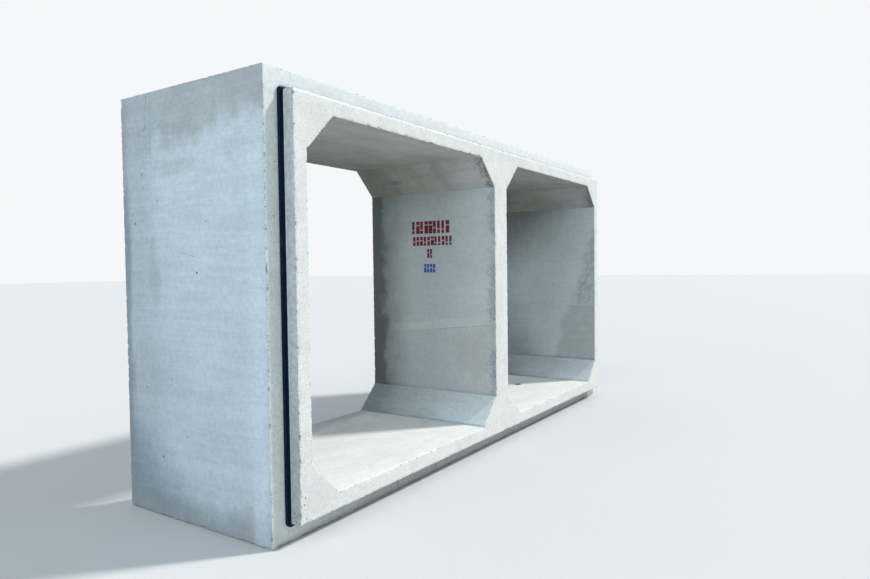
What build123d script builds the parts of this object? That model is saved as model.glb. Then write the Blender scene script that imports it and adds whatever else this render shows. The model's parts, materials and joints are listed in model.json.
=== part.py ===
from build123d import *
import math
import os

# Precast concrete box culvert section with two cells side by side, a spigot
# end, a socket end, a rubber joint seal and four cast-in lifting loops.
# Millimetres. +X runs across the two cells, +Y along the flow from the spigot
# end to the socket end, +Z up. The origin is the middle of the flat underside
# that the unit rests on.

# Clear openings
cell_width = 2000.0
cell_height = 2000.0
haunch = 200.0               # leg of the 45 degree slope in each corner of a cell

# Concrete thicknesses and length
side_wall = 200.0
middle_wall = 200.0
top_slab = 200.0
bottom_slab = 200.0
laying_length = 1200.0       # shoulder to socket rim, the pitch of the laid units
arris = 6.0                  # small chamfer on the outside edges
mouth_arris = 4.0            # smaller chamfer round the cell mouths and the nose

# Spigot and socket
spigot_step = 105.0          # how far the spigot stands in from the outside faces
spigot_length = 92.0
spigot_corner_radius = 12.0  # at the shoulder
draft = 2.0                  # degrees, so that the end forms strip
joint_gap = 13.0             # between spigot and socket when the joint is closed
nose_gap = 8.0               # ahead of the spigot's nose when the joint is closed

# Rubber seal
seal_height = 18.0           # proud of the spigot before it is squeezed
seal_width = 26.0            # along the spigot
seal_crown_width = 17.0      # the thick part beside the shoulder
seal_toe = 5.0               # thickness of the strip in front of the crown
seal_crown_bevel = 4.0
glue_line = 0.3              # film between the rubber and the concrete

# Lifting loops of plain round bar, each standing in a plane along the flow
loop_bar = 20.0              # diameter, across the corners of its flats
loop_bar_flats = 12
loop_bend_radius = 44.0      # centre line of the round eye
loop_throat = 50.0           # between the centre lines of the two legs
loop_neck_radius = 20.0      # where a leg opens out into the eye
loop_rise = 6.0              # straight bar above the concrete
loop_from_side = 380.0       # centre line in from the side face
loop_from_end = 280.0        # centre of the eye in from the shoulder or the rim
leg_cover = 60.0             # concrete below the ends of the legs
cast_in_gap = 0.3            # bar to the concrete that was cast round it

# Sizes that follow from the ones above
overall_width = 2 * side_wall + 2 * cell_width + middle_wall
overall_height = bottom_slab + cell_height + top_slab
cell_pitch = cell_width + middle_wall
cell_centre_z = bottom_slab + cell_height / 2
shoulder_y = -laying_length / 2
rim_y = laying_length / 2
nose_y = shoulder_y - spigot_length
socket_depth = spigot_length + nose_gap
seat_y = rim_y - socket_depth
spigot_width = overall_width - 2 * spigot_step
spigot_height = overall_height - 2 * spigot_step
slope = math.tan(math.radians(draft))
in_plane = 0.01              # how near an edge lies to the plane that it is picked by


def across(y):
    """Plane across the culvert at y, its local x along +X, its local y up."""
    return Plane.XZ.offset(-y)


def rounded_outline(y, grow):
    """Spigot outline at the shoulder, grown all round, drawn on the plane at y."""
    outline = RectangleRounded(
        spigot_width + 2 * grow, spigot_height + 2 * grow, spigot_corner_radius + grow
    )
    return across(y) * Pos(0, overall_height / 2) * outline


def cell_outline(y):
    """Both cells, each a rectangle whose corners the haunches cut off."""
    cell = chamfer(Rectangle(cell_width, cell_height).vertices(), haunch)
    pair = Sketch() + [
        Pos(side * cell_pitch / 2, cell_centre_z) * cell for side in (-1, 1)
    ]
    return across(y) * pair


def edges_at(solid, y):
    """Edges of a solid that lie wholly in the plane across the culvert at y."""
    return solid.edges().filter_by_position(Axis.Y, y - in_plane, y + in_plane)


def inner_edges(solid, y, width, height):
    """Edges in the plane at y that lie within a width and height about its middle."""
    return edges_at(solid, y).filter_by(
        lambda edge: abs(edge.center().X) < width / 2
        and abs(edge.center().Z - overall_height / 2) < height / 2
    )


def barrel():
    """Solid block from the shoulder to the rim, with its outside arrises off."""
    outline = chamfer(Rectangle(overall_width, overall_height).vertices(), arris)
    block = extrude(across(shoulder_y) * Pos(0, overall_height / 2) * outline, -laying_length)
    return chamfer(edges_at(block, shoulder_y) + edges_at(block, rim_y), arris)


def spigot():
    """Tapered tongue in front of the shoulder."""
    return extrude(rounded_outline(shoulder_y, 0), spigot_length, taper=draft)


def socket_hollow():
    """Tapered recess that the next unit's spigot and seal enter."""
    return extrude(rounded_outline(rim_y, joint_gap), socket_depth, taper=draft)


def culvert_casting():
    """One pour: slabs, walls, haunches, spigot and socket."""
    casting = barrel() + spigot() - socket_hollow()
    casting -= extrude(cell_outline(nose_y), -(rim_y - nose_y))
    cell_edges = inner_edges(casting, seat_y, spigot_width, spigot_height)
    casting = chamfer(edges_at(casting, nose_y) + cell_edges, mouth_arris)
    rim_inside = inner_edges(
        casting, rim_y, overall_width - spigot_step, overall_height - spigot_step
    )
    casting = chamfer(rim_inside, mouth_arris)
    for place in loop_places().values():
        casting -= place * loop_bar_solid(cast_in_gap)
    return casting


def seal_ring():
    """Rubber ring in the corner of spigot and shoulder, crown and toe in one."""
    base_rise = glue_line / math.cos(math.radians(draft))
    section_points = [
        (glue_line, base_rise - glue_line * slope),
        (glue_line, seal_height),
        (seal_crown_width, seal_height),
        (seal_crown_width, seal_toe),
        (seal_width, seal_toe - seal_width * slope),
        (seal_width, base_rise - seal_width * slope),
    ]
    section = make_face(Polyline(*section_points, close=True))
    crown = section.vertices().sort_by(Axis.Y)[-2:]
    section = chamfer(crown, seal_crown_bevel)
    path = rounded_outline(shoulder_y, 0).wire()
    start = Plane(
        origin=(spigot_width / 2, shoulder_y, overall_height / 2),
        x_dir=(0, -1, 0),
        z_dir=(0, 0, 1),
    )
    return sweep(start * section, path=path)


def loop_path():
    """Centre line of a loop: straight legs, necks and a round eye, in its plane."""
    half_throat = loop_throat / 2
    neck_across = half_throat + loop_neck_radius
    neck_up = math.sqrt((loop_bend_radius + loop_neck_radius) ** 2 - neck_across**2)
    eye_z = loop_rise + neck_up
    reach = loop_bend_radius / (loop_bend_radius + loop_neck_radius)
    join_y = neck_across * reach
    join_z = eye_z - neck_up * reach
    bottom_z = -(top_slab - leg_cover)

    right = [
        Line((half_throat, bottom_z), (half_throat, loop_rise)),
        TangentArc((half_throat, loop_rise), (join_y, join_z), tangent=(0, 1)),
    ]
    left = [mirror(piece, about=Plane.YZ) for piece in right]
    eye = ThreePointArc(
        (join_y, join_z), (0, eye_z + loop_bend_radius), (-join_y, join_z)
    )
    return Wire([piece.edge() for piece in right + [eye] + left])


def loop_bar_solid(grow):
    """Bar of one loop, grown by the given gap, standing along the flow at the origin."""
    upright = Plane(origin=(0, 0, 0), x_dir=(0, 1, 0), z_dir=(1, 0, 0))
    path = upright * loop_path()
    start = Plane(origin=path.position_at(0), x_dir=(1, 0, 0), z_dir=path.tangent_at(0))
    flats_square_on = Rot(0, 0, 180 / loop_bar_flats)
    bar = RegularPolygon(loop_bar / 2 + grow, loop_bar_flats)
    return sweep(start * flats_square_on * bar, path=path)


def loop_places():
    """Where each loop stands on the top face, by the name of its corner."""
    across_places = {"left": -1, "right": 1}
    along_places = {"front": shoulder_y + loop_from_end, "rear": rim_y - loop_from_end}
    return {
        f"{end}_{side}": Pos(sign * (overall_width / 2 - loop_from_side), y, overall_height)
        for end, y in along_places.items()
        for side, sign in across_places.items()
    }


nodes = {"culvert_body": culvert_casting(), "joint_seal": seal_ring()}
for corner, place in loop_places().items():
    nodes[f"lifting_loop_{corner}"] = place * loop_bar_solid(0)

os.makedirs("parts", exist_ok=True)
for name, solid in nodes.items():
    export_step(solid, f"parts/{name}.step")
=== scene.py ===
import json
import math

import bmesh
import bpy
from mathutils import Matrix, Vector

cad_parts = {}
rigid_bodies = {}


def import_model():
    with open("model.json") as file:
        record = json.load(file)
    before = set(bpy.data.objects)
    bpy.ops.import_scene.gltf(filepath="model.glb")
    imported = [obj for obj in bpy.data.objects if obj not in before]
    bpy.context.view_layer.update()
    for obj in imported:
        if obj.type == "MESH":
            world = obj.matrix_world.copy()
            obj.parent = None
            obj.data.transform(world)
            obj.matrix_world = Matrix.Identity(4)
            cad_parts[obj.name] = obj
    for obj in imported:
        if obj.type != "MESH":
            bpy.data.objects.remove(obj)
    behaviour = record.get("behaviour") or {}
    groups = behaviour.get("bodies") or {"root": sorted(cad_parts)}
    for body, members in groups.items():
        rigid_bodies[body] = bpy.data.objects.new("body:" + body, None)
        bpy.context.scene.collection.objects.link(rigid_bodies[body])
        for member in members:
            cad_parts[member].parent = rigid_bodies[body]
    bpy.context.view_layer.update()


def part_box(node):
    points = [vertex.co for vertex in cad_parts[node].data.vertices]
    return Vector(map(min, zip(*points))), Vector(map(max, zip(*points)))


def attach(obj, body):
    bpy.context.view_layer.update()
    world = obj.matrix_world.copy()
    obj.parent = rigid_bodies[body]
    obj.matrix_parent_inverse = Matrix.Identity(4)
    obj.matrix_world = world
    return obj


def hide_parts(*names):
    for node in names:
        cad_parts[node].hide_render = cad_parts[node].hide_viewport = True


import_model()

# A precast box culvert section with two cells, in metres. +X runs across the
# cells, +Y from the spigot end to the socket end, +Z up.

# Sizes of the casting, as far as possible from the frame
body_low, body_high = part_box("culvert_body")
half_width = body_high.x
height = body_high.z
nose_y = body_low.y
rim_y = body_high.y
mid_height = Vector((0, 0, height / 2))
laying_length = 1.2
shoulder_y = rim_y - laying_length
wall = 0.2
haunch = 0.2
spigot_step = 0.105
spigot_half = half_width - spigot_step
spigot_top = height - spigot_step
spigot_length = shoulder_y - nose_y
joint_gap = 0.013
nose_gap = 0.008
socket_wall = spigot_step - joint_gap
socket_depth = spigot_length + nose_gap
socket_corner = 0.025
seat_y = rim_y - socket_depth
draft = math.tan(math.radians(2))
cell_side = half_width - wall

# Strips along the arrises, where the concrete is worn and chipped
strip_width = 0.018
strip_rows = 6
strip_pitch = 0.0105
most_cuts = 20

# Limits for telling points, faces and edges apart: gaps, shares of a length and angles
plane_gap = 0.0005
merge_gap = 0.0002
mostly = 0.9
slanted = 0.3
flat = math.radians(0.2)
sharp = math.radians(30)


def only(piece):
    """Selects one piece alone and makes it the active one."""
    bpy.ops.object.select_all(action="DESELECT")
    piece.select_set(True)
    bpy.context.view_layer.objects.active = piece


def add(primitive, name, place, scale=(1, 1, 1), **sizes):
    """A primitive at its place, with its scale taken into its mesh."""
    bpy.ops.object.select_all(action="DESELECT")
    primitive(location=place, **sizes)
    piece = bpy.context.object
    piece.name = name
    piece.scale = scale
    bpy.ops.object.transform_apply(location=True, rotation=True, scale=True)
    return piece


def block(name, low, high):
    """A cube primitive that fills the box between two corners."""
    low, high = Vector(low), Vector(high)
    return add(bpy.ops.mesh.primitive_cube_add, name, (low + high) / 2, high - low, size=1)


def join(pieces):
    """Makes one piece of several, under the first one's name."""
    only(pieces[0])
    for piece in pieces[1:]:
        piece.select_set(True)
    bpy.ops.object.join()
    return pieces[0]


def apply(piece, modifier):
    only(piece)
    bpy.ops.object.modifier_apply(modifier=modifier.name)


def edit(piece):
    only(piece)
    bpy.ops.object.mode_set(mode="EDIT")


def leave_edit():
    bpy.ops.object.mode_set(mode="OBJECT")


def pick(piece, kind, test):
    """In edit mode, selects only the faces, edges or points that pass a test."""
    bpy.ops.mesh.select_mode(type=kind)
    bpy.ops.mesh.select_all(action="DESELECT")
    shape = bmesh.from_edit_mesh(piece.data)
    parts = {"FACE": shape.faces, "EDGE": shape.edges, "VERT": shape.verts}[kind]
    for part in parts:
        part.select_set(test(part))
    shape.select_flush_mode()
    bmesh.update_edit_mesh(piece.data)


def pick_all():
    bpy.ops.mesh.select_all(action="SELECT")


def pull(x, y, z):
    """Extrudes what is selected, by a move."""
    bpy.ops.mesh.extrude_region_move(TRANSFORM_OT_translate={"value": (x, y, z)})


def roughen(piece, name, strength, grain=None, middle=0.0, group="", sparse=None, along="NORMAL"):
    """Moves a piece's points out, or in where the strength is below nought. A grain size in
    metres makes the move cloudy, and a sparse one leaves most points where they are."""
    wear = piece.modifiers.new(name, "DISPLACE")
    wear.vertex_group = group
    wear.direction = along
    wear.mid_level = middle
    wear.strength = strength
    if grain:
        clouds = bpy.data.textures.new(name, "CLOUDS")
        clouds.noise_scale = grain
        if sparse:
            clouds.use_color_ramp = True
            for end, place, level in zip(clouds.color_ramp.elements, sparse, (0, 1)):
                end.position = place
                end.color = (level, level, level, 1)
        wear.texture = clouds
        wear.texture_coords = "LOCAL"
    apply(piece, wear)


def smooth(piece, angle=40):
    only(piece)
    bpy.ops.object.shade_smooth_by_angle(angle=math.radians(angle))


def push_end(piece, normal_y, step, length):
    """Insets the end face that looks along y, moves it to the front and tapers it by the draft."""
    pick(piece, "FACE", lambda face: face.normal.y * normal_y > mostly)
    bpy.ops.mesh.inset(thickness=step)
    pull(0, -length, 0)
    shrink = length * draft
    taper = (1 - shrink / (half_width - step), 1, 1 - shrink / (height / 2 - step))
    bpy.ops.transform.resize(value=taper, center_override=mid_height)


def runs_along_y(edge):
    a, b = edge.verts
    return abs(a.co.y - b.co.y) > mostly * edge.calc_length()


def is_arris(edge):
    """True on an outward corner of the casting."""
    return len(edge.link_faces) == 2 and edge.is_convex and edge.calc_face_angle() > sharp


def cell_cores():
    """The two haunched cores that leave the cells, as one piece."""
    cores = []
    for side in (-1, 1):
        near, far = sorted((side * wall / 2, side * cell_side))
        low = (near, nose_y - wall, wall)
        high = (far, rim_y + wall, height - wall)
        cores.append(block("cell_core", low, high))
    core = join(cores)
    edit(core)
    pick(core, "EDGE", runs_along_y)
    bpy.ops.mesh.bevel(offset=haunch, segments=1, affect="EDGES")
    leave_edit()
    return core


def cut_away(piece, core):
    """Takes the core's shape out of a piece."""
    cut = piece.modifiers.new("cut", "BOOLEAN")
    cut.object = core
    cut.operation = "DIFFERENCE"
    cut.solver = "EXACT"
    apply(piece, cut)
    bpy.data.objects.remove(core)


def divide_strips(piece):
    """Cuts every arris strip, and what runs beside it, into short lengths."""
    while True:
        shape = bmesh.from_edit_mesh(piece.data)
        longest = max(edge.calc_length() for edge in shape.edges if is_arris(edge))
        cuts = min(most_cuts, math.ceil(longest / strip_pitch) - 1)
        if cuts < 1:
            return
        same = longest - plane_gap
        pick(piece, "EDGE", lambda edge: is_arris(edge) and edge.calc_length() > same)
        bpy.ops.mesh.loop_multi_select(ring=True)
        bpy.ops.mesh.subdivide(number_cuts=cuts)


def close_flats(piece, flats):
    """Fills the openings left in each flat face, given as an axis number and a place on it."""
    for axis, place in flats:
        def on_flat(edge):
            near = all(abs(end.co[axis] - place) < plane_gap for end in edge.verts)
            return near and edge.is_boundary
        pick(piece, "EDGE", on_flat)
        bpy.ops.mesh.fill(use_beauty=True)


def casting_shape():
    """The bare concrete: block, spigot, socket and cells, with fine strips along its arrises."""
    casting = block("culvert_casting", (-half_width, shoulder_y, 0), (half_width, rim_y, height))
    edit(casting)
    push_end(casting, -1, spigot_step, spigot_length)
    push_end(casting, 1, socket_wall, socket_depth)

    def in_socket_corner(edge):
        return runs_along_y(edge) and min(end.co.y for end in edge.verts) > seat_y - plane_gap
    pick(casting, "EDGE", in_socket_corner)
    bpy.ops.mesh.bevel(offset=socket_corner, segments=4, affect="EDGES")
    leave_edit()
    cut_away(casting, cell_cores())

    edit(casting)
    pick_all()
    bpy.ops.mesh.dissolve_limited(angle_limit=flat, use_dissolve_boundaries=True)
    pick(casting, "EDGE", is_arris)
    bpy.ops.mesh.bevel(offset=strip_width, segments=strip_rows, profile=1.0, affect="EDGES",
                       loop_slide=False)
    flats = [(0, -half_width), (0, half_width), (2, 0), (2, height),
             (1, nose_y), (1, shoulder_y), (1, seat_y), (1, rim_y)]

    def is_wide_flat(face):
        longest = max(edge.calc_length() for edge in face.edges)
        middle = face.calc_center_median()
        on_flat = any(abs(face.normal[axis]) > mostly and abs(middle[axis] - place) < plane_gap
                      for axis, place in flats)
        return on_flat and face.calc_area() / longest > 2 * strip_width
    pick(casting, "FACE", is_wide_flat)
    bpy.ops.mesh.delete(type="FACE")
    divide_strips(casting)
    close_flats(casting, flats)
    leave_edit()
    return casting


def is_worn_arris(edge):
    """True on the arrises, but for the corners of the spigot where the seal covers them."""
    start = min(end.co.y for end in edge.verts)
    covered = shoulder_y - seal_width - strip_pitch < start < shoulder_y - plane_gap
    return is_arris(edge) and not (runs_along_y(edge) and covered)


def is_foot_arris(edge):
    """True on the arrises round the underside."""
    return is_arris(edge) and max(end.co.z for end in edge.verts) < plane_gap


def weigh(piece, name, weights, where):
    """A vertex group that fades from the arris lines outwards, one weight a row of points."""
    piece.vertex_groups.active = piece.vertex_groups.new(name=name)
    for steps in reversed(range(len(weights))):
        pick(piece, "EDGE", where)
        for _ in range(steps):
            bpy.ops.mesh.select_more()
        bpy.context.tool_settings.vertex_group_weight = weights[steps]
        bpy.ops.object.vertex_group_assign()


def unfold(piece, group, times):
    """Evens out a group's points, so that no face folds over the next one."""
    soften = piece.modifiers.new("unfold", "SMOOTH")
    soften.vertex_group = group
    soften.factor = 0.5
    soften.iterations = times
    apply(piece, soften)


def wear_arrises(piece):
    """Softens the arrises and breaks small chips out of them, more so round the underside.
    How far each point was chipped, and how near an arris it lies, is kept for the finishes."""
    edit(piece)
    weigh(piece, "rounding", (1.0, 0.15), is_worn_arris)
    weigh(piece, "chipping", (1.0, 0.55, 0.2), is_worn_arris)
    weigh(piece, "foot", (1.0, 0.7, 0.35), is_foot_arris)
    leave_edit()
    roughen(piece, "rounding", -0.0026, group="rounding")
    roughen(piece, "waver", -0.0016, grain=0.045, middle=0.5, group="rounding")
    whole = [point.co.copy() for point in piece.data.vertices]
    roughen(piece, "nibbles", -0.0036, grain=0.010, group="chipping", sparse=(0.54, 0.7))
    roughen(piece, "chips", -0.008, grain=0.026, group="chipping", sparse=(0.64, 0.74))
    roughen(piece, "crumbled", -0.010, grain=0.022, group="foot", sparse=(0.5, 0.66))
    unfold(piece, "foot", times=6)
    chipped = piece.data.attributes.new("chipped", "FLOAT", "POINT")
    arris = piece.data.attributes.new("arris", "FLOAT", "POINT")
    chipping = piece.vertex_groups["chipping"].index
    for point, before in zip(piece.data.vertices, whole):
        chipped.data[point.index].value = (point.co - before).length
        for share in point.groups:
            if share.group == chipping:
                arris.data[point.index].value = share.weight


# Rubber seal, round the foot of the spigot
seal_width = 0.026
seal_height = 0.018
seal_crown_width = 0.017
seal_toe = 0.005
seal_bed = 0.0012
seal_crown_radius = 0.004
seal_corner = 0.012
seal_corner_steps = 5
seal_pitch = 0.05


def merge_doubles(piece):
    """Joins the seams of a piece and turns its faces outwards."""
    edit(piece)
    pick_all()
    bpy.ops.mesh.remove_doubles(threshold=merge_gap)
    bpy.ops.mesh.normals_make_consistent(inside=False)
    leave_edit()


def carry_round(turn, centre, axis, steps):
    """Carries the selected section round an axis, right-handed, as the spin tool is not."""
    bpy.ops.mesh.spin(steps=steps, angle=-turn, center=centre, axis=axis)


def seal_profile():
    """The seal's section as a wire, on the right-hand side of the spigot at mid height."""
    toe_middle = (spigot_half + (seal_toe - seal_bed) / 2, shoulder_y - seal_width / 2, height / 2)
    toe_size = (seal_toe + seal_bed, seal_width, 1)
    seal = add(bpy.ops.mesh.primitive_plane_add, "rubber_seal", toe_middle, toe_size, size=1)
    crown_front = shoulder_y - seal_crown_width
    edit(seal)
    pick_all()
    bpy.ops.mesh.bisect(plane_co=(0, crown_front, 0), plane_no=(0, 1, 0))

    def is_crown_foot(edge):
        a, b = edge.verts
        outer = min(a.co.x, b.co.x) > spigot_half + seal_toe / 2
        return outer and min(a.co.y, b.co.y) > crown_front - plane_gap
    pick(seal, "EDGE", is_crown_foot)
    pull(seal_height - seal_toe, 0, 0)
    pick(seal, "VERT", lambda point: point.co.x > spigot_half + seal_height - plane_gap)
    bpy.ops.mesh.bevel(offset=seal_crown_radius, segments=3, affect="VERTICES")
    pick_all()
    bpy.ops.mesh.dissolve_faces()
    bpy.ops.mesh.delete(type="ONLY_FACE")
    pick_all()
    return seal


def run_seal(across, up):
    """Carries the selected section along a straight side of the spigot."""
    steps = round(math.hypot(across, up) / seal_pitch)
    for _ in range(steps):
        pull(across / steps, 0, up / steps)


def rubber_seal():
    """The seal: one section carried round the spigot and joined to itself."""
    seal = seal_profile()
    side = spigot_half - seal_corner
    top = spigot_top - seal_corner
    foot = spigot_step + seal_corner
    run_seal(0, top - height / 2)
    for turn_at, run in (((side, top), (-2 * side, 0)), ((-side, top), (0, foot - top)),
                         ((-side, foot), (2 * side, 0)), ((side, foot), (0, height / 2 - foot))):
        centre = (turn_at[0], shoulder_y, turn_at[1])
        carry_round(-math.pi / 2, centre, (0, 1, 0), seal_corner_steps)
        run_seal(*run)
    leave_edit()
    merge_doubles(seal)
    roughen(seal, "wander", 0.0022, grain=0.22, middle=0.7, along="Y")
    smooth(seal)
    return seal


# Lifting loops of bent round bar, standing along the flow
bar_radius = 0.01
eye_radius = 0.044
neck_radius = 0.02
leg_apart = 0.05
leg_rise = 0.006
leg_sunk = 0.03
loop_from_side = 0.38
loop_from_end = 0.28
loop_lean = math.radians(1.2)
neck_out = leg_apart / 2 + neck_radius
eye_rise = leg_rise + math.sqrt((eye_radius + neck_radius) ** 2 - neck_out ** 2)
neck_turn = math.atan2(eye_rise - leg_rise, neck_out)
neck_steps = 7
eye_steps = 44
collar_radius = 0.027
collar_stretch = (1, 1.15, 0.3)
collar_sunk = 0.002
leg_places = (leg_apart / 2, -leg_apart / 2)
loop_ends = {"front": shoulder_y + loop_from_end, "rear": rim_y - loop_from_end}
loop_sides = {"left": -half_width + loop_from_side, "right": half_width - loop_from_side}
loop_places = {f"{end}_{side}": (x, y)
               for end, y in loop_ends.items() for side, x in loop_sides.items()}


def bent_bar():
    """A loop at the origin: a ring carried up a leg, round the eye and down again."""
    bar = add(bpy.ops.mesh.primitive_circle_add, "lifting_bar", (0, leg_apart / 2, -leg_sunk),
              vertices=16, radius=bar_radius)
    edit(bar)
    pick_all()
    pull(0, 0, leg_sunk + leg_rise)
    carry_round(neck_turn, (0, neck_out, leg_rise), (-1, 0, 0), neck_steps)
    carry_round(math.pi + 2 * neck_turn, (0, 0, eye_rise), (1, 0, 0), eye_steps)
    carry_round(neck_turn, (0, -neck_out, leg_rise), (-1, 0, 0), neck_steps)
    pull(0, 0, -leg_sunk - leg_rise)
    for y in leg_places:
        pick(bar, "EDGE", lambda edge: edge.is_boundary
             and all(abs(end.co.y - y) < 2 * bar_radius for end in edge.verts))
        bpy.ops.mesh.fill_grid()
    leave_edit()
    merge_doubles(bar)
    roughen(bar, "mill_scale", 0.0012, grain=0.012, middle=0.9)
    smooth(bar)
    return bar


def mortar_collar():
    """Low ragged fillet of mortar round both legs of a loop at the origin."""
    heaps = [add(bpy.ops.mesh.primitive_uv_sphere_add, "mortar_collar", (0, y, 0), collar_stretch,
                 segments=28, ring_count=14, radius=collar_radius) for y in leg_places]
    collar = join(heaps)
    roughen(collar, "lumps", 0.012, grain=0.018, middle=0.6)
    edit(collar)
    pick_all()
    bpy.ops.mesh.bisect(plane_co=(0, 0, -collar_sunk), plane_no=(0, 0, 1), clear_inner=True,
                        use_fill=True)
    leave_edit()
    smooth(collar, 60)
    return collar


def stand_copies(model, lean=0.0):
    """A copy of a model at each loop's place, each with its own mesh, and the model removed."""
    copies = {}
    for number, (corner, (x, y)) in enumerate(loop_places.items()):
        twin = model.copy()
        twin.data = model.data.copy()
        twin.name = f"{model.name}_{corner}"
        bpy.context.scene.collection.objects.link(twin)
        tip = Matrix.Rotation(lean * (-1) ** number * (1 + number / 2), 4, "X")
        twin.data.transform(Matrix.Translation((x, y, height)) @ tip)
        copies[corner] = twin
    bpy.data.objects.remove(model)
    return copies


# Finishes: shader nodes, wired as sums
def node(tree, kind, given=None, **settings):
    """A new shader node, given numbers, colours and wires."""
    made = tree.nodes.new("ShaderNode" + kind)
    for name, setting in settings.items():
        setattr(made, name, setting)
    for name, value in (given or {}).items():
        socket = made.inputs[name]
        if isinstance(value, Wire):
            tree.links.new(value.socket, socket)
        elif socket.type == "RGBA":
            socket.default_value = (*value, 1)
        else:
            socket.default_value = value
    return made


class Wire:
    """What a shader node puts out, to be added, multiplied and faded like a number."""

    def __init__(self, socket):
        self.socket = socket

    def into(self, kind, given, output=0, **settings):
        """What a new node in the same tree puts out."""
        return Wire(node(self.socket.id_data, kind, given, **settings).outputs[output])

    def math(self, operation, other=0.0):
        return self.into("Math", {0: self, 1: other}, operation=operation)

    def __add__(self, other):
        return self.math("ADD", other)

    def __sub__(self, other):
        return self.math("SUBTRACT", other)

    def __rsub__(self, other):
        return self.into("Math", {0: other, 1: self}, operation="SUBTRACT")

    def __mul__(self, other):
        return self.math("MULTIPLY", other)

    def __abs__(self):
        return self.math("ABSOLUTE")

    def fade(self, start, stop, low=0.0, high=1.0):
        """From low to high, smoothly, as the value goes from start to stop."""
        given = {0: self, 1: start, 2: stop, 3: low, 4: high}
        return self.into("MapRange", given, interpolation_type="SMOOTHSTEP")

    def sway(self, reach):
        """A noise as a shift to both sides of nought, up to about the reach."""
        given = {0: self, 1: 0.3, 2: 0.7, 3: -reach, 4: reach}
        return self.into("MapRange", given, clamp=False)

    def near(self, middle, reach):
        """1 where the value is the middle one, 0 beyond its reach."""
        return abs(self - middle).fade(reach, 0.0)

    def between(self, low, high, soft):
        return self.fade(low - soft, low + soft) * self.fade(high + soft, high - soft)

    def axes(self):
        """A place as its x, y and z."""
        return [Wire(axis) for axis in node(self.socket.id_data, "SeparateXYZ", {0: self}).outputs]

    def stretch(self, *scale):
        """A place with its axes scaled, so that a noise is drawn out along one."""
        return self.into("VectorMath", {0: self, 1: scale}, operation="MULTIPLY")

    def noise(self, scale, detail=3.0, roughness=0.5, distortion=0.0):
        given = {"Vector": self, "Scale": scale, "Detail": detail, "Roughness": roughness,
                 "Distortion": distortion}
        return self.into("TexNoise", given)


def make_effect(name, work, **values):
    """A shared shader group, which makes its results from a place and some values."""
    tree = bpy.data.node_groups.new(name, "ShaderNodeTree")
    tree.interface.new_socket("place", in_out="INPUT", socket_type="NodeSocketVector")
    for label, value in values.items():
        socket = tree.interface.new_socket(label, in_out="INPUT", socket_type="NodeSocketFloat")
        socket.default_value = value
    given = tree.nodes.new("NodeGroupInput").outputs
    results = work(*(Wire(given[label]) for label in ("place", *values)))
    for label in results:
        tree.interface.new_socket(label, in_out="OUTPUT", socket_type="NodeSocketFloat")
    found = tree.nodes.new("NodeGroupOutput").inputs
    for label, result in results.items():
        tree.links.new(result.socket, found[label])


def cloud_masks(place, scale, start, stop):
    """Soft irregular patches, as damp and cement bloom leave on concrete."""
    return {"mask": place.noise(scale, 7.0, 0.62).fade(start, stop)}


def mottled_paste(place, coarse, fine):
    """Fine mottling of paste and sand, as a level round 0.5 and as relief."""
    sand = place.noise(coarse, 4.0, 0.65)
    paste = place.noise(fine, 4.0, 0.8)
    return {"level": (sand * 0.45 + paste * 0.55).fade(0.37, 0.63), "height": paste}


def form_lines(place, fine):
    """Fine lines along the flow, from the sheets of the form."""
    drawn_out = place.stretch(1.0, 0.06, 1.0)
    thin = drawn_out.noise(fine, 4.0, 0.65)
    broad = drawn_out.noise(16.0, 4.0, 0.6)
    return {"level": (thin * 0.5 + broad * 0.5).fade(0.36, 0.64), "height": thin}


def air_holes(place, scale, share, size):
    """Small round air holes of mixed sizes."""
    cells = node(place.socket.id_data, "TexVoronoi", {"Vector": place, "Scale": scale}).outputs
    stirred = {0: Wire(cells["Color"]), 1: (13.7, 9.1, 11.3)}
    drawn = place.into("VectorMath", stirred, "Value", operation="DOT_PRODUCT")
    first_lot = drawn.math("FRACT")
    second_lot = (drawn * 5.3).math("FRACT")
    away = Wire(cells["Distance"]) + place.noise(260.0, 1.0) * size * 0.8
    inside = size * second_lot.fade(0.0, 1.0, 0.7, 1.6) - away
    chosen = first_lot.math("LESS_THAN", share)
    rim = inside.fade(size * -0.1, size * 0.25)
    return {"mask": rim * chosen, "height": inside.fade(0.0, size) * chosen}


def broken_arrises(place):
    """Where the arrises are chipped, rubbed or pocked, from the casting's own attributes."""
    depth = place.into("Attribute", {}, "Fac", attribute_name="chipped")
    arris = place.into("Attribute", {}, "Fac", attribute_name="arris")
    grit = place.noise(90.0, 3.0, 0.6)
    dots = place.noise(150.0, 2.0, 0.6).fade(0.56, 0.63)
    groups = place.noise(8.0, 3.0, 0.6).fade(0.42, 0.6)
    return {"chipped": depth.fade(0.0012, 0.004) * grit.fade(0.3, 0.55, 0.4, 1.0),
            "rubbed": arris.fade(0.5, 0.95) * grit.fade(0.35, 0.55),
            "pocked": dots * groups * arris.fade(0.1, 0.6)}


def bare_sand(place, scale, roughness, stop, share):
    """Grains of sand that show in the paste, with the noise that they come from."""
    grains = place.noise(scale, 3.0, roughness)
    return {"mask": grains.fade(0.5, stop, 0.0, share), "noise": grains}


def inner_depth(place, wander, gloom):
    """How far in a face lies, for painted shade deepening to the rear, and a level that drops
    for painted shade in the right-hand cell.
    """
    x, y, _ = place.axes()
    depth = y + wander.sway(0.06)
    return {"middle": depth.fade(-0.6, -0.05), "rear": depth.fade(-0.1, 0.45),
            "level": x.fade(-0.05, 0.15, 1.0, gloom)}


def level_mark(place, wander, level, reach, start, least, most):
    """A level line round the inside, stronger and weaker as a noise wanders. It draws form
    joints, and painted shade in the creases at the haunches.
    """
    z = place.axes()[2]
    return {"mask": z.near(level, reach) * wander.fade(start, 0.6, least, most)}


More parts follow.
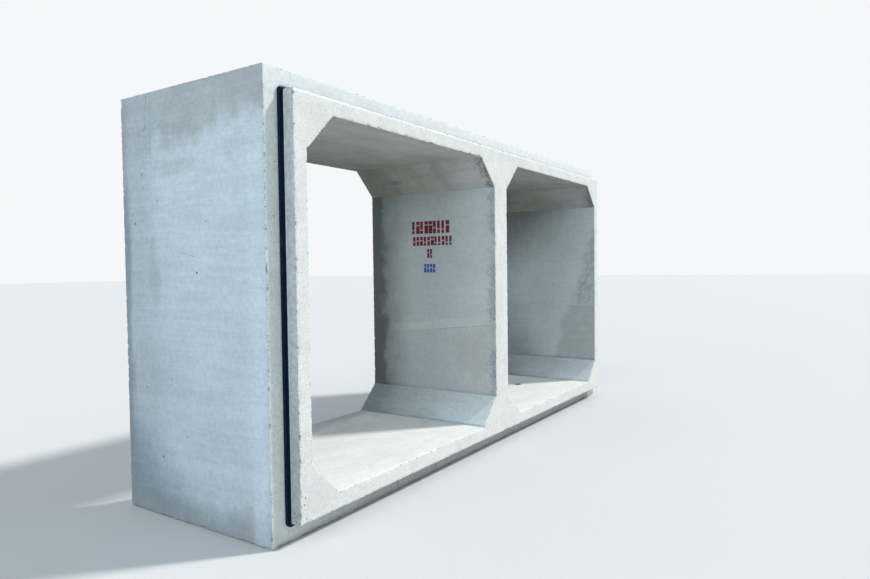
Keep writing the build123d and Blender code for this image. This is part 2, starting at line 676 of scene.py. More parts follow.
class Finish:
    """A material in the making: where a point lies, and its colour so far."""

    def __init__(self, name, colour):
        self.material = bpy.data.materials.new(name)
        self.material.use_nodes = True
        self.tree = self.material.node_tree
        self.colour = colour
        self.place = Wire(node(self.tree, "TexCoord").outputs["Object"])
        self.x, self.y, self.z = self.place.axes()

    def lay(self, share, tone):
        """Lays a tone over the colour, by a share from 0 to 1."""
        given = {0: share, 6: self.colour, 7: tone}
        self.colour = share.into("Mix", given, 2, data_type="RGBA")

    def light(self, level):
        """Makes the colour lighter or darker by a factor."""
        self.colour = level.into("HueSaturation", {"Value": level, "Color": self.colour})

    def effect(self, name, **values):
        """What a shared effect puts out here, for values of this finish's own."""
        given = {"place": self.place, **values}
        outputs = node(self.tree, "Group", given, node_tree=bpy.data.node_groups[name]).outputs
        return {output.name: Wire(output) for output in outputs}

    def close(self, dull, relief, bump, gloss=0.5):
        """The finished material, with its colour, roughness and relief on its shader."""
        skin = self.tree.nodes["Principled BSDF"].inputs
        skin["Specular IOR Level"].default_value = gloss
        raised = relief.into("Bump", {"Strength": bump, "Distance": 1.0, "Height": relief})
        for wire, name in ((self.colour, "Base Color"), (dull, "Roughness"), (raised, "Normal")):
            self.tree.links.new(wire.socket, skin[name])
        return self.material


def smudge(along, up, middle, reach, wander=None, ragged=0.0):
    """A soft oval stain round one place on a face, its edge made ragged by a noise."""
    far_along = (along - middle[0]) * (1 / reach[0])
    far_up = (up - middle[1]) * (1 / reach[1])
    away = (far_along * far_along + far_up * far_up).math("SQRT")
    if wander:
        away = away + wander.sway(ragged)
    return away.fade(1.0, 0.25)


def thin_lines(along, up, lines):
    """One mask of thin lines on a face, each between two of its points."""
    drawn = None
    for (a0, u0), (a1, u1), width in lines:
        length = math.hypot(a1 - a0, u1 - u0)
        run, climb = (a1 - a0) / length, (u1 - u0) / length
        begin = a0 * run + u0 * climb
        inside = (along * run + up * climb).between(begin, begin + length, 0.01)
        line = inside * (along * -climb + up * run).near(u0 * run - a0 * climb, width)
        drawn = drawn + line if drawn else line
    return drawn


# Concrete, each face in its own tones; some tones and marks also carry painted light and shade,
# noted where they are set
# The chips' tone is broken stone's darker grey, deepened as painted shade inside the chips.
chip_stone_and_shade = (0.29, 0.31, 0.30)
rubbed_paste = (0.86, 0.88, 0.86)
hole_shade = (0.07, 0.08, 0.08)


def concrete(name, colouring, tone, shade, clouds=2.2, grain=0.07, streaks=0.0,
             pits=(14.0, 0.18, 0.08), rub=0.5):
    """Cast concrete: a tone clouded with a shade, then what is special to one face, then
    mottling, form lines, air holes and worn arrises."""
    face = Finish(name, tone)
    cloudy = face.effect("clouds", scale=clouds)["mask"]
    patchy = face.effect("clouds", scale=clouds * 5)["mask"]
    face.lay(cloudy * 0.7, shade)
    face.lay(patchy * 0.3, shade)
    colouring(face)
    mottle = face.effect("mottle")
    face.light(mottle["level"].fade(0.0, 1.0, 1 - grain, 1 + grain))
    relief = mottle["height"] * 0.0012
    if streaks:
        lines = face.effect("form_streaks")
        face.light(lines["level"].fade(0.0, 1.0, 1 - streaks, 1 + streaks))
        relief = relief + lines["height"] * 0.0006
    scale, share, size = pits
    holes = face.effect("pits", scale=scale, share=share, size=size)
    face.lay(holes["mask"] * 0.8, hole_shade)
    worn = face.effect("breakage")
    face.lay(worn["rubbed"] * rub, rubbed_paste)
    face.lay(worn["chipped"] * 0.8, chip_stone_and_shade)
    face.lay(worn["pocked"] * 0.9, hole_shade)
    rough_break = worn["chipped"] * face.place.noise(60.0) * -0.004
    relief = relief + holes["height"] * -0.004 + rough_break
    dull = (cloudy + mottle["level"]).fade(0.2, 1.8, 0.73, 0.95)
    return face.close(dull, relief, bump=0.8, gloss=0.3)


# Stains of the side as middle, reach and strength, its form joint, and its thin lines as
# first point, last point and width, all by y and z
side_stains = (
    ((0.02, 1.97), (0.30, 0.06), 0.5), ((-0.38, 2.02), (0.20, 0.07), 0.2),
    ((0.32, 1.40), (0.06, 0.17), 0.7), ((0.34, 0.75), (0.07, 0.35), 0.5),
    ((0.0, 1.25), (0.35, 0.05), 0.15), ((-0.2, 0.72), (0.3, 0.06), 0.2),
    ((-0.47, 0.10), (0.16, 0.13), 0.5),
)
side_joint_y = 0.318
side_crack = (
    ((0.351, 2.385), (0.367, 2.204), 0.0035),
    ((0.367, 2.204), (0.462, 2.141), 0.0035),
)
side_scratches = (
    ((0.19, 0.885), (-0.02, 0.93), 0.0025),
    ((0.10, 1.50), (-0.10, 1.46), 0.002),
    ((-0.05, 1.16), (-0.30, 1.175), 0.002),
)


def side_colours(face):
    """Smooth outer wall: brown-grey smears under the top, darker to the rear and at the foot, with
    painted shade low down toward the rear.
    """
    y, z = face.y, face.z
    wander = face.place.stretch(1.0, 3.2, 2.2).noise(1.5, 6.0, 0.62)
    drips = face.place.stretch(1.0, 16.0, 1.5).noise(1.0, 3.0, 0.6)
    face.light(z.fade(1.8, 0.4, 1.01, 0.91))
    level = z + y * 0.08 + wander.sway(0.11) + drips.sway(0.02)
    smear = level.fade(2.03, 2.22) * wander.fade(0.3, 0.6, 0.75, 1.0)
    face.lay(smear * 0.95, (0.39, 0.435, 0.445))
    for middle, reach, strength in side_stains:
        stain = smudge(y, z, middle, reach, wander, 0.8)
        face.lay(stain * strength, (0.39, 0.43, 0.44))
    rear = y + wander.sway(0.08)
    face.lay(rear.fade(0.10, 0.44, 0.0, 0.8), (0.42, 0.48, 0.52))
    edge = y + drips.sway(0.03) + wander.sway(0.03)
    face.lay(edge.fade(0.49, 0.575) * z.fade(2.35, 1.6, 0.35, 0.8), (0.22, 0.27, 0.31))
    # Painted shade: dark low down toward the rear, as cast by a neighbouring unit.
    foot = z + y * -0.76 + wander.sway(0.10)
    face.lay(foot.fade(0.34, -0.2, 0.0, 0.9), (0.24, 0.30, 0.345))
    low = z + wander.sway(0.05)
    face.lay(low.fade(0.20, 0.02, 0.0, 0.75), (0.30, 0.34, 0.36))
    bloom = y.between(-0.575, -0.475, 0.03) * z.fade(2.2, 1.9)
    face.lay(bloom * 0.35, (0.62, 0.74, 0.83))
    left = face.x.fade(-1.0, -2.0)
    gaps = face.place.noise(26.0, 2.0).fade(0.36, 0.55)
    joint = y.near(side_joint_y, 0.003) * z.fade(1.55, 1.95) * 0.5
    crack = thin_lines(y, z, side_crack)
    face.lay((joint + crack) * gaps * left * 0.8, hole_shade)
    scratches = thin_lines(y, z, side_scratches)
    face.lay(scratches * gaps * left * 0.5, (0.16, 0.19, 0.20))


def shoulder_colours(face):
    """End face behind the spigot: flecked and pale above the ledge, with a painted bluish shade
    line over the seal and painted shade under the nose; darker low down, with dirt and painted
    contact shade at the foot.
    """
    x, z = face.x, face.z
    flecks = face.effect("sand_flecks", scale=70.0, roughness=0.7, stop=0.62, share=0.42)
    face.lay(flecks["mask"], (0.46, 0.51, 0.50))
    upright = face.place.stretch(22.0, 1.0, 1.6).noise(1.0, 4.0, 0.6)
    face.light(upright.fade(0.35, 0.65, 1.02, 0.975))
    above = z.fade(spigot_top - 0.02, spigot_top) * x.fade(-2.3, 0.5, 0.5, 0.95)
    face.lay(above, (0.82, 0.835, 0.815))
    # Painted shade: a thin bluish line on the shoulder just above the seal's top run.
    inside = abs(x).fade(half_width - 0.07, half_width - 0.09)
    wavering = z + face.place.noise(5.0, 2.0).sway(0.002)
    painted_shade_line = inside * wavering.between(spigot_top + 0.026, spigot_top + 0.037, 0.005)
    face.lay(painted_shade_line * 0.6, (0.58, 0.67, 0.74))
    foot = z + flecks["noise"].sway(0.02)
    # Darker in a low band under the spigot, more so to the right.
    darker_low_band = x.fade(-2.15, -1.3, 0.15, 0.65) * foot.fade(0.15, 0.11)
    face.lay(darker_low_band, (0.33, 0.345, 0.31))
    # Painted shade in a thin band just under the nose.
    shade_under_nose = x.fade(-2.19, -2.12) * z.fade(0.082, 0.098, 0.0, 0.45)
    face.lay(shade_under_nose * z.fade(spigot_step + 0.005, spigot_step), (0.18, 0.19, 0.17))
    for form_joint_x in (-1.255, -0.818):
        joint = x.near(form_joint_x, 0.01) * z.fade(0.115, 0.1, 0.0, 0.6)
        face.lay(joint, (0.16, 0.17, 0.15))
    # Dirt, with painted contact shade, along the foot.
    face.lay(foot.fade(0.045, 0.0, 0.0, 0.5), (0.23, 0.24, 0.22))


def open_holes(face, where):
    """Small holes close together, in one part of a face."""
    holes = face.effect("pits", scale=60.0, share=0.85, size=0.34)["mask"]
    face.lay(holes * where * 0.9, hole_shade)


def nose_colours(face):
    """Struck end face: near white paste with fine sand showing, a few soft stains, and a painted
    highlight along the top arris.
    """
    sand = face.effect("sand_flecks", scale=110.0, roughness=0.75, stop=0.63, share=0.6)
    face.lay(sand["mask"], (0.50, 0.52, 0.49))
    soft = face.place.noise(9.0, 5.0, 0.6)
    face.light(soft.fade(0.35, 0.65, 1.03, 0.95))
    # Painted highlight along the nose's top arris.
    top_arris_highlight = face.z.fade(spigot_top - 0.024, spigot_top - 0.012)
    face.lay(top_arris_highlight * face.y.fade(0.0, shoulder_y) * 0.7, (0.90, 0.92, 0.91))
    damp = smudge(face.x, face.z, (-2.08, 0.22), (0.22, 0.22), soft, 0.7)
    face.lay(damp * 0.3, (0.55, 0.59, 0.58))
    open_holes(face, smudge(face.x, face.z, (-2.18, 0.19), (0.05, 0.18)))


def spigot_colours(face):
    """Tapered sides of the spigot: mottled and scuffed from the end form, pitted low down, with a
    painted highlight in a thin line beside the seal.
    """
    mottle = face.place.noise(30.0, 5.0, 0.7)
    face.lay(mottle.fade(0.42, 0.64, 0.0, 0.38), (0.29, 0.33, 0.34))
    scuff = face.place.stretch(20.0, 50.0, 24.0).noise(1.0, 4.0, 0.7)
    face.lay(scuff.fade(0.54, 0.68, 0.0, 0.3), (0.62, 0.67, 0.67))
    # Painted highlight in a thin line beside the seal.
    highlight_beside_seal = face.y.near(shoulder_y - seal_width - 0.004, 0.004)
    face.lay(highlight_beside_seal * 0.7, (0.66, 0.70, 0.68))
    face.lay(face.z.fade(0.95, 0.3) * 0.5, (0.27, 0.30, 0.31))
    open_holes(face, face.z.fade(0.32, 0.18))


def shade_inwards(face, wander, middle, rear, gloom):
    """Paints shade on an inside face: deeper from its front to its rear, and deeper in the
    right-hand cell.
    """
    depth = face.effect("inward_shade", wander=wander, gloom=gloom)
    face.lay(depth["middle"], middle)
    face.lay(depth["rear"], rear)
    face.light(depth["level"])


def draw_level(face, tone, **values):
    """A level line on an inside face."""
    face.lay(face.effect("level_line", **values)["mask"], tone)


def wall_colours(face):
    """Inside walls: painted shade deepening to the rear, with level joints of the core."""
    wander = face.place.stretch(1.0, 2.0, 1.4).noise(2.4, 6.0, 0.62)
    shade_inwards(face, wander, (0.42, 0.465, 0.47), (0.30, 0.335, 0.34), 0.95)
    for level in (0.985, 0.81):
        draw_level(face, (0.20, 0.23, 0.24), wander=wander, level=level, start=0.35,
                   least=0.15, most=0.5)
    # Painted shade, darkest at the rear end.
    far = face.y + wander.sway(0.05)
    face.lay(far.fade(0.30, 0.50, 0.0, 0.7), (0.12, 0.13, 0.125))


def right_wall_colours(face):
    """The right outer wall's inside: a pale slanting band, darker in front, with painted shade
    behind, high up and at the foot, and in the crease above the haunch.
    """
    y, z = face.y, face.z
    wander = face.place.stretch(1.0, 2.4, 1.6).noise(2.2, 6.0, 0.6)
    waver = wander.sway(0.06)
    # Painted shade toward the rear: high up and at the foot.
    shade_top_rear = z + y * 0.9 + waver
    face.lay(shade_top_rear.fade(1.35, 2.15, 0.0, 0.9), (0.11, 0.123, 0.123))
    shade_foot_rear = y + z * -0.5 + waver
    face.lay(shade_foot_rear.fade(-0.45, 0.1, 0.0, 0.75), (0.18, 0.205, 0.21))
    slant = y + z * 0.354 + waver
    face.light(slant.fade(0.25, -0.05, 1.0, 1.10))
    patch = slant.fade(-0.04, -0.12)
    spots = face.place.noise(26.0, 4.0, 0.65).fade(0.42, 0.58)
    rough_part = patch * z.fade(0.96, 1.0) * spots.fade(0.0, 1.0, 0.25, 0.75)
    face.lay(rough_part, (0.28, 0.325, 0.33))
    smooth_part = patch * z.fade(1.0, 0.96)
    face.lay(smooth_part * 0.55, (0.30, 0.33, 0.32))
    for level, strength in ((0.985, 0.6), (0.82, 0.35), (0.64, 0.3)):
        joint = z.near(level, 0.006) * slant.fade(0.05, -0.1) * strength
        face.lay(joint, (0.52, 0.57, 0.57))
    # Painted shade in the crease above the haunch.
    draw_level(face, (0.20, 0.225, 0.225), wander=wander, level=wall + haunch, reach=0.035,
               least=0.3, most=0.7)


# Check marks on the middle wall: where each row starts and stops along y, its foot and
# head along z, how many blocks stand in it, and its paint
paint_red = (0.165, 0.003, 0.020)
paint_blue = (0.015, 0.08, 0.33)
check_marks = (
    (0.081, -0.288, 1.671, 1.772, 9, paint_red),
    (0.073, -0.314, 1.574, 1.647, 11, paint_red),
    (-0.065, -0.123, 1.473, 1.546, 2, paint_red),
    (-0.033, -0.150, 1.355, 1.424, 4, paint_blue),
)


def painted_row(y, z, start, stop, low, high, blocks):
    """A stencilled row of plain upright blocks of uneven width, each with a tie across it."""
    pitch = (start - stop) / blocks
    count = (start - y) * (1 / pitch)
    seed = count.math("FLOOR") + low
    lot = seed.into("TexWhiteNoise", {"W": seed}, noise_dimensions="1D")
    width = lot.fade(0.0, 1.0, 0.62, 0.9)
    upright = (count.math("FRACT") - width).fade(0.05, -0.05)
    tie_height = lot.fade(0.1, 0.9, low + 0.3 * (high - low), low + 0.7 * (high - low))
    tie = abs(z - tie_height).fade(0.007, 0.002)
    return upright * y.between(stop, start, 0.002) * z.between(low, high, 0.002) * (1 - tie * 0.7)


def front_strip(face):
    """Bleeding of the form joint in the last few centimetres before the nose."""
    y = face.y + face.place.noise(22.0, 5.0, 0.7).sway(0.03)
    long_groups = face.place.stretch(2.0, 2.0, 3.2).noise(1.0, 4.0, 0.65)
    bled = y.fade(-0.620, -0.660) * long_groups.fade(0.38, 0.58, 0.15, 0.6)
    face.lay(bled, (0.27, 0.315, 0.335))
    dots = face.place.noise(48.0, 5.0, 0.7).fade(0.51, 0.60)
    strip = y.fade(-0.585, -0.660) * long_groups.fade(0.42, 0.62)
    face.lay(strip * dots * 0.5, (0.11, 0.13, 0.14))


def marked_wall_colours(face):
    """The middle wall's left face: smooth, with stencilled check marks, and painted shade
    deepening inwards, under the soffit, in the crease above the haunch and at the rear end.
    """
    y, z = face.y, face.z
    wander = face.place.stretch(1.0, 2.0, 1.4).noise(2.4, 6.0, 0.62)
    # Painted shade, deepening from the front toward the middle.
    face.lay(y.fade(-0.6, -0.1), (0.47, 0.51, 0.52))
    joint = z + y * 0.10 + wander.sway(0.006)
    face.lay(joint.between(0.884, 0.955, 0.012) * 0.4, (0.60, 0.64, 0.63))
    face.lay(joint.near(0.882, 0.005) * y.fade(0.25, -0.2, 0.1, 0.6), (0.28, 0.29, 0.28))
    face.light(z.fade(1.0, 0.7, 1.0, 0.96))
    warm = smudge(y, z, (-0.50, 0.68), (0.24, 0.32), wander, 0.6)
    face.lay(warm * 0.5, (0.44, 0.445, 0.41))
    # Painted shade under the soffit, reaching lower toward the rear.
    under = z + y * 0.35 + wander.sway(0.05)
    face.lay(under.fade(1.70, 2.1, 0.0, 0.45), (0.20, 0.215, 0.21))
    front_strip(face)
    # Painted shade in the crease above the haunch.
    draw_level(face, (0.24, 0.245, 0.23), wander=wander, level=wall + haunch, reach=0.03)
    # Painted shade toward the rear end, darkest in a ragged band.
    far = y + wander.sway(0.04)
    face.lay(far.fade(0.04, 0.48, 0.0, 0.85), (0.13, 0.14, 0.14))
    ragged = far + face.place.noise(9.0, 6.0, 0.7).sway(0.035)
    face.lay(ragged.fade(0.34, 0.41, 0.0, 0.75), (0.085, 0.09, 0.082))
    thin = face.place.noise(130.0, 3.0, 0.7).fade(0.28, 0.46, 0.6, 1.0)
    for *row, paint in check_marks:
        face.lay(painted_row(y, z, *row) * thin, paint)


def soffit_colours(face):
    """Soffit and upper haunches: soft smears, with painted shade deepening to the rear and in
    the right-hand cell.
    """
    smear = face.place.stretch(1.6, 3.0, 3.0).noise(1.6, 7.0, 0.62, 0.3)
    shade_inwards(face, smear, (0.31, 0.315, 0.285), (0.19, 0.192, 0.17), 0.70)
    face.light(smear.fade(0.35, 0.65, 1.07, 0.92))
    stain = smudge(face.y, face.z, (0.19, 2.09), (0.10, 0.02), smear, 0.5)
    face.lay(stain * 0.6, (0.12, 0.13, 0.125))
    nicks = face.place.noise(48.0, 3.0, 0.7).fade(0.52, 0.62)
    face.lay(face.y.fade(-0.655, -0.68) * nicks * 0.6, (0.12, 0.12, 0.10))


def upper_haunch_colours(face):
    """Upper haunches: as the soffit, with stains and broken spots by the nose."""
    soffit_colours(face)
    y = face.y + face.place.noise(16.0, 4.0, 0.65).sway(0.03)
    right = face.x.fade(1.6, 1.9)
    stained = y.fade(-0.605, -0.660) * (1 - right * 0.6)
    spots = face.place.noise(30.0, 6.0, 0.7).fade(0.42, 0.60, 0.25, 1.0)
    face.lay(stained * spots * 0.8, (0.13, 0.135, 0.12))
    corner = (y + face.x * -0.5).fade(-1.58, -1.70)
    face.lay(corner * right * spots * 0.9, (0.10, 0.10, 0.08))


def lower_haunch_colours(face):
    """Lower haunches: pale, with dust in splashes; painted shade deepening to the rear, in the
    right-hand cell and in the crease at the foot, and painted bluish sky light along the front
    foot.
    """
    splash = face.place.stretch(1.0, 0.35, 1.0).noise(6.0, 5.0, 0.6)
    y = face.y + splash.sway(0.08)
    # Painted shade: lighter at the front, deepening to the rear.
    face.lay(y.fade(-0.5, -0.05, 0.0, 0.9), (0.52, 0.575, 0.58))
    face.lay(y.fade(-0.1, 0.45, 0.0, 0.95), (0.24, 0.27, 0.275))
    face.light(splash.fade(0.35, 0.65, 1.04, 0.93))
    # Painted bluish sky light along the front foot.
    front_foot_sky_light = face.z.fade(0.36, 0.22) * y.fade(0.0, -0.45, 0.0, 0.65)
    face.lay(front_foot_sky_light, (0.78, 0.87, 0.91))
    # Painted shade in the crease at the foot.
    draw_level(face, (0.24, 0.27, 0.28), wander=splash, level=wall + 0.008, reach=0.01, start=0.4)
    # Painted shade, deeper in the right-hand cell.
    face.light(face.x.fade(-0.05, 0.15, 1.0, 0.86))


def invert_colours(face):
    """Invert: pale with dust, smeared where it was swept, with a few dark marks, painted shade
    deepening to the rear and a painted highlight along the front edge.
    """
    swept = face.place.stretch(1.6, 4.0, 1.0).noise(1.3, 7.0, 0.62, 0.5)
    face.light(swept.fade(0.38, 0.66, 1.02, 0.94))
    warm = face.place.noise(3.0, 4.0, 0.6)
    face.lay(warm.fade(0.5, 0.7, 0.0, 0.4), (0.85, 0.82, 0.76))
    # Painted shade deepening to the rear.
    rear = face.y + swept.sway(0.12)
    face.lay(rear.fade(0.2, 0.5, 0.0, 0.8), (0.42, 0.46, 0.46))
    # Painted highlight along the front edge.
    rubbed = face.y.fade(nose_y + 0.016, nose_y + 0.006, 0.0, 0.5)
    face.lay(rubbed, (0.94, 0.95, 0.93))
    fleck = face.place.noise(45.0, 3.0, 0.6)
    for middle, reach in (((1.436, -0.123), (0.07, 0.05)), ((1.932, -0.593), (0.03, 0.022))):
        mark = smudge(face.x, face.y, middle, reach, fleck, 0.35)
        face.lay(mark * 0.95, (0.05, 0.055, 0.055))


def top_colours(face):
    """Upper face: dust, dried puddles and rust below each lifting loop."""
    puddle = face.place.noise(1.7, 7.0, 0.6, 0.4)
    face.lay(puddle.fade(0.46, 0.56, 0.0, 0.22), (0.40, 0.42, 0.41))
    face.lay(puddle.near(0.52, 0.012) * 0.25, (0.66, 0.68, 0.67))
    grit = face.place.noise(90.0, 5.0, 0.75)
    face.light(grit.fade(0.35, 0.65, 1.13, 0.84))
    across = abs(face.x) - (half_width - loop_from_side)
    along = abs(face.y) - (rim_y - loop_from_end)
    ragged = face.place.noise(14.0, 5.0, 0.65)
    rust = smudge(across, along, (0.0, 0.0), (0.17, 0.17), ragged, 0.5)
    face.lay(rust * 0.55, (0.33, 0.19, 0.10))


def casting_finishes():
    """Every finish of the casting, named for the faces that it covers."""
    return (
        # The formed side's grey carries a blue cast painted in for the sky light on that face.
        concrete("formed_side", side_colours, (0.57, 0.67, 0.735), (0.515, 0.605, 0.665),
                 streaks=0.045, pits=(14.0, 0.16, 0.09), rub=0.25),
        concrete("upper_face", top_colours, (0.55, 0.58, 0.58), (0.49, 0.515, 0.51),
                 grain=0.12, pits=(14.0, 0.3, 0.07)),
        concrete("shoulder", shoulder_colours, (0.72, 0.77, 0.745), (0.64, 0.69, 0.67),
                 clouds=4.0, pits=(16.0, 0.2, 0.07)),
        concrete("struck_nose", nose_colours, (0.78, 0.795, 0.76), (0.735, 0.75, 0.715),
                 clouds=4.0, grain=0.06, pits=(16.0, 0.25, 0.07), rub=0.9),
        concrete("spigot_side", spigot_colours, (0.49, 0.54, 0.545), (0.42, 0.465, 0.475),
                 clouds=8.0, grain=0.14, pits=(16.0, 0.3, 0.035)),
        concrete("cell_wall", wall_colours, (0.45, 0.50, 0.51), (0.40, 0.45, 0.46), streaks=0.05),
        concrete("right_wall", right_wall_colours, (0.425, 0.475, 0.49), (0.39, 0.435, 0.45),
                 streaks=0.03),
        concrete("marked_wall", marked_wall_colours, (0.55, 0.60, 0.61), (0.51, 0.555, 0.565),
                 grain=0.06, streaks=0.022),
        # The upper haunches' and soffit's tones are their own formed grey, darkened further as
        # painted shade for faces that look down.
        concrete("upper_haunch", upper_haunch_colours, (0.425, 0.44, 0.425), (0.39, 0.405, 0.39),
                 streaks=0.04),
        concrete("soffit", soffit_colours, (0.395, 0.405, 0.375), (0.36, 0.37, 0.34),
                 streaks=0.04),
        concrete("lower_haunch", lower_haunch_colours, (0.71, 0.785, 0.80), (0.64, 0.71, 0.725),
                 clouds=3.0, grain=0.08),
        concrete("invert", invert_colours, (0.88, 0.88, 0.84), (0.83, 0.84, 0.80), grain=0.05),
        concrete("socket", nose_colours, (0.60, 0.65, 0.65), (0.50, 0.54, 0.54),
                 clouds=3.5, grain=0.16),
    )


# Rubber and steel
def rubber():
    """Dense black rubber with a blue cast and a little cement dust, paler and bluer along its top
    run.
    """
    skin = Finish("seal_rubber", (0.0012, 0.0125, 0.032))
    dust = skin.place.noise(14.0, 4.0, 0.65)
    skin.lay(dust.fade(0.5, 0.8, 0.0, 0.2), (0.05, 0.075, 0.095))
    specks = skin.place.noise(160.0, 2.0, 0.6)
    skin.lay(specks.fade(0.64, 0.74, 0.0, 0.25), (0.20, 0.23, 0.24))
    # Paler and bluer along the top run.
    upper = skin.z.fade(spigot_top + 0.003, spigot_top + 0.012)
    skin.lay(upper * dust.fade(0.3, 0.6, 0.5, 0.9), (0.40, 0.48, 0.54))
    relief = skin.place.noise(110.0) * 0.0006
    return skin.close(dust.fade(0.3, 0.7, 0.55, 0.75), relief, bump=0.6, gloss=0.08)


def rusty_bar():
    """Hot rolled bar: brown rust in scales, with grey cement dried on from the pour."""
    skin = Finish("rusty_bar", (0.21, 0.075, 0.03))
    scales = skin.place.noise(90.0, 5.0, 0.65)
    skin.lay(scales.fade(0.4, 0.62), (0.09, 0.04, 0.025))
    bright = skin.place.noise(240.0, 3.0, 0.6)
    skin.lay(bright.fade(0.6, 0.72, 0.0, 0.6), (0.40, 0.17, 0.06))
    low = skin.z.fade(height + 0.05, height + 0.01, 0.0, 0.14)
    splash = (skin.place.noise(45.0, 5.0, 0.65) + low).fade(0.58, 0.68)
    skin.lay(splash * 0.8, (0.50, 0.50, 0.47))
    relief = (scales + splash) * 0.0012
    return skin.close(scales.fade(0.3, 0.7, 0.7, 0.95), relief, bump=0.9)


# Dressing the pieces
def is_outside(middle):
    """True where a face's middle lies on the outer walls, the top or the underside."""
    return (abs(abs(middle.x) - half_width) < plane_gap or middle.z < plane_gap
            or middle.z > height - plane_gap)


def is_in_cell(middle):
    return (abs(middle.x) < cell_side + plane_gap
            and wall - plane_gap < middle.z < height - wall + plane_gap)


def finish_of(face):
    """The name of a face's finish, by where it looks and lies."""
    look, middle = face.normal, face.calc_center_median()
    if look.y < -mostly:
        return "struck_nose" if middle.y < shoulder_y - plane_gap else "shoulder"
    if look.y > mostly:
        return "socket"
    if is_outside(middle):
        return "formed_side" if abs(look.x) > mostly else "upper_face"
    if middle.y > seat_y + plane_gap:
        return "socket"
    if not is_in_cell(middle):
        return "spigot_side"
    if abs(look.z) > mostly:
        return "invert" if look.z > 0 else "soffit"
    if abs(look.z) > slanted:
        return "lower_haunch" if look.z > 0 else "upper_haunch"
    if abs(middle.x + wall / 2) < plane_gap:
        return "marked_wall"
    return "right_wall" if middle.x > cell_side - plane_gap else "cell_wall"


def dress_casting(piece):
    """Gives each face of the casting its finish, while its faces are still true."""
    finishes = casting_finishes()
    for finish in finishes:
        piece.data.materials.append(finish)
    edit(piece)
    for number, finish in enumerate(finishes):
        pick(piece, "FACE", lambda face: finish_of(face) == finish.name)
        piece.active_material_index = number
        bpy.ops.object.material_slot_assign()
    leave_edit()


def shade_casting(piece):
    """Smooth shading in the worn strips, flat on the wide faces beside them."""
    smooth(piece, 45)
    edit(piece)
    arris = bmesh.from_edit_mesh(piece.data).verts.layers.float["arris"]
    pick(piece, "FACE", lambda face: all(point[arris] == 0 for point in face.verts))
    bpy.ops.mesh.faces_shade_flat()
    leave_edit()


def settle(piece, slot, *nodes):
    """Lets a finished piece ride on the frame, and hides the nodes it stands for. The slot is not
    used.
    """
    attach(piece, "root")
    if nodes:
        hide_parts(*nodes)


# Stage: floor, lamps and camera
picture_width = 870
focal_pixels = 651.47
sensor_width = 36.0
camera_place = (-4.5095, -3.0309, 1.4004)
camera_ahead = (0.83562, 0.54820, -0.03478)
camera_upright = (0.03578, 0.00885, 0.99932)
floor_size = 160


def stand_camera():
    """The camera at the photograph's place and angle."""
    lens = bpy.data.cameras.new("camera")
    lens.sensor_width = sensor_width
    lens.lens = focal_pixels / picture_width * sensor_width
    camera = bpy.data.objects.new("camera", lens)
    ahead = Vector(camera_ahead).normalized()
    aside = ahead.cross(Vector(camera_upright)).normalized()
    turn = Matrix((aside, aside.cross(ahead), -ahead)).transposed()
    camera.matrix_world = Matrix.Translation(camera_place) @ turn.to_4x4()
    bpy.context.scene.collection.objects.link(camera)
    bpy.context.scene.camera = camera


def lay_floor():
    floor = add(bpy.ops.mesh.primitive_plane_add, "studio_floor", (0, 0, 0), size=floor_size)
    finish = bpy.data.materials.new("studio_floor")
    finish.use_nodes = True
    skin = finish.node_tree.nodes["Principled BSDF"].inputs
    skin["Base Color"].default_value = (0.70, 0.70, 0.69, 1)
    skin["Roughness"].default_value = 0.9
    floor.data.materials.append(finish)


def hang_lamp(name, toward, strength, spread, colour):
    """A wide soft lamp that shines from one direction."""
    lamp = bpy.data.lights.new(name, "SUN")
    lamp.energy = strength
    lamp.angle = math.radians(spread)
    lamp.color = colour
    holder = bpy.data.objects.new(name, lamp)
    holder.rotation_mode = "QUATERNION"
    holder.rotation_quaternion = Vector(toward).to_track_quat("Z", "Y")
    bpy.context.scene.collection.objects.link(holder)


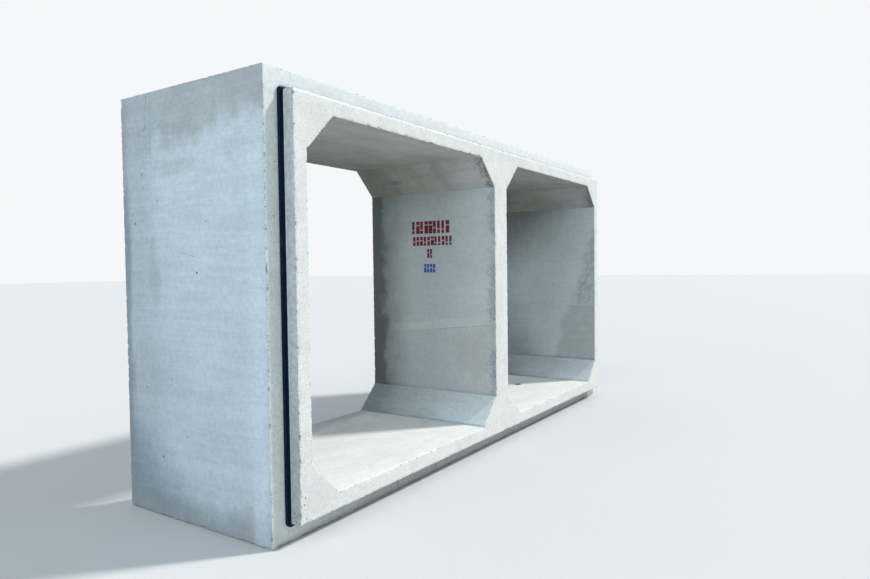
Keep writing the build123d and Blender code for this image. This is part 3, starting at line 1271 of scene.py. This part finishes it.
def open_sky():
    """Even cool light from all round, and a plain pale backdrop for the camera."""
    world = bpy.data.worlds.new("studio")
    world.use_nodes = True
    tree = world.node_tree
    tree.nodes.clear()
    light = Wire(node(tree, "Background", {"Color": (0.38, 0.44, 0.50)}).outputs[0])
    backdrop = Wire(node(tree, "Background", {"Color": (0.92, 0.93, 0.94)}).outputs[0])
    path = node(tree, "LightPath").outputs
    camera, glossy, clear = (Wire(path[f"Is {kind} Ray"])
                             for kind in ("Camera", "Glossy", "Transmission"))
    seen = camera.math("MAXIMUM", glossy).math("MAXIMUM", clear)
    both = seen.into("MixShader", {0: seen, 1: light, 2: backdrop})
    node(tree, "OutputWorld", {"Surface": both})
    bpy.context.scene.world = world


stand_camera()
make_effect("clouds", cloud_masks, scale=2.0, start=0.4, stop=0.65)
make_effect("form_streaks", form_lines, fine=75.0)
make_effect("pits", air_holes, scale=8.0, share=0.3, size=0.03)
make_effect("mottle", mottled_paste, coarse=36.0, fine=125.0)
make_effect("breakage", broken_arrises)
make_effect("sand_flecks", bare_sand, scale=90.0, roughness=0.7, stop=0.62, share=0.5)
make_effect("inward_shade", inner_depth, wander=0.5, gloom=1.0)
make_effect("level_line", level_mark, wander=0.5, level=1.0, reach=0.005, start=0.3, least=0.2,
            most=0.6)

casting = casting_shape()
dress_casting(casting)
wear_arrises(casting)
shade_casting(casting)
settle(casting, "concrete", "culvert_body")

seal = rubber_seal()
seal.data.materials.append(rubber())
settle(seal, "seal_rubber", "joint_seal")

bar_finish = rusty_bar()
for corner, bar in stand_copies(bent_bar(), loop_lean).items():
    bar.data.materials.append(bar_finish)
    settle(bar, "loop_steel", f"lifting_loop_{corner}")
for collar in stand_copies(mortar_collar()).values():
    collar.data.materials.append(bpy.data.materials["upper_face"])
    settle(collar, "concrete")

lay_floor()
hang_lamp("key", (0.537, -0.46, 0.707), 2.6, 6, (1.0, 0.99, 0.97))
hang_lamp("fill", (-0.9, -0.15, 0.45), 1.1, 70, (0.88, 0.96, 1.0))
open_sky()
bpy.context.scene.view_settings.view_transform = "Standard"
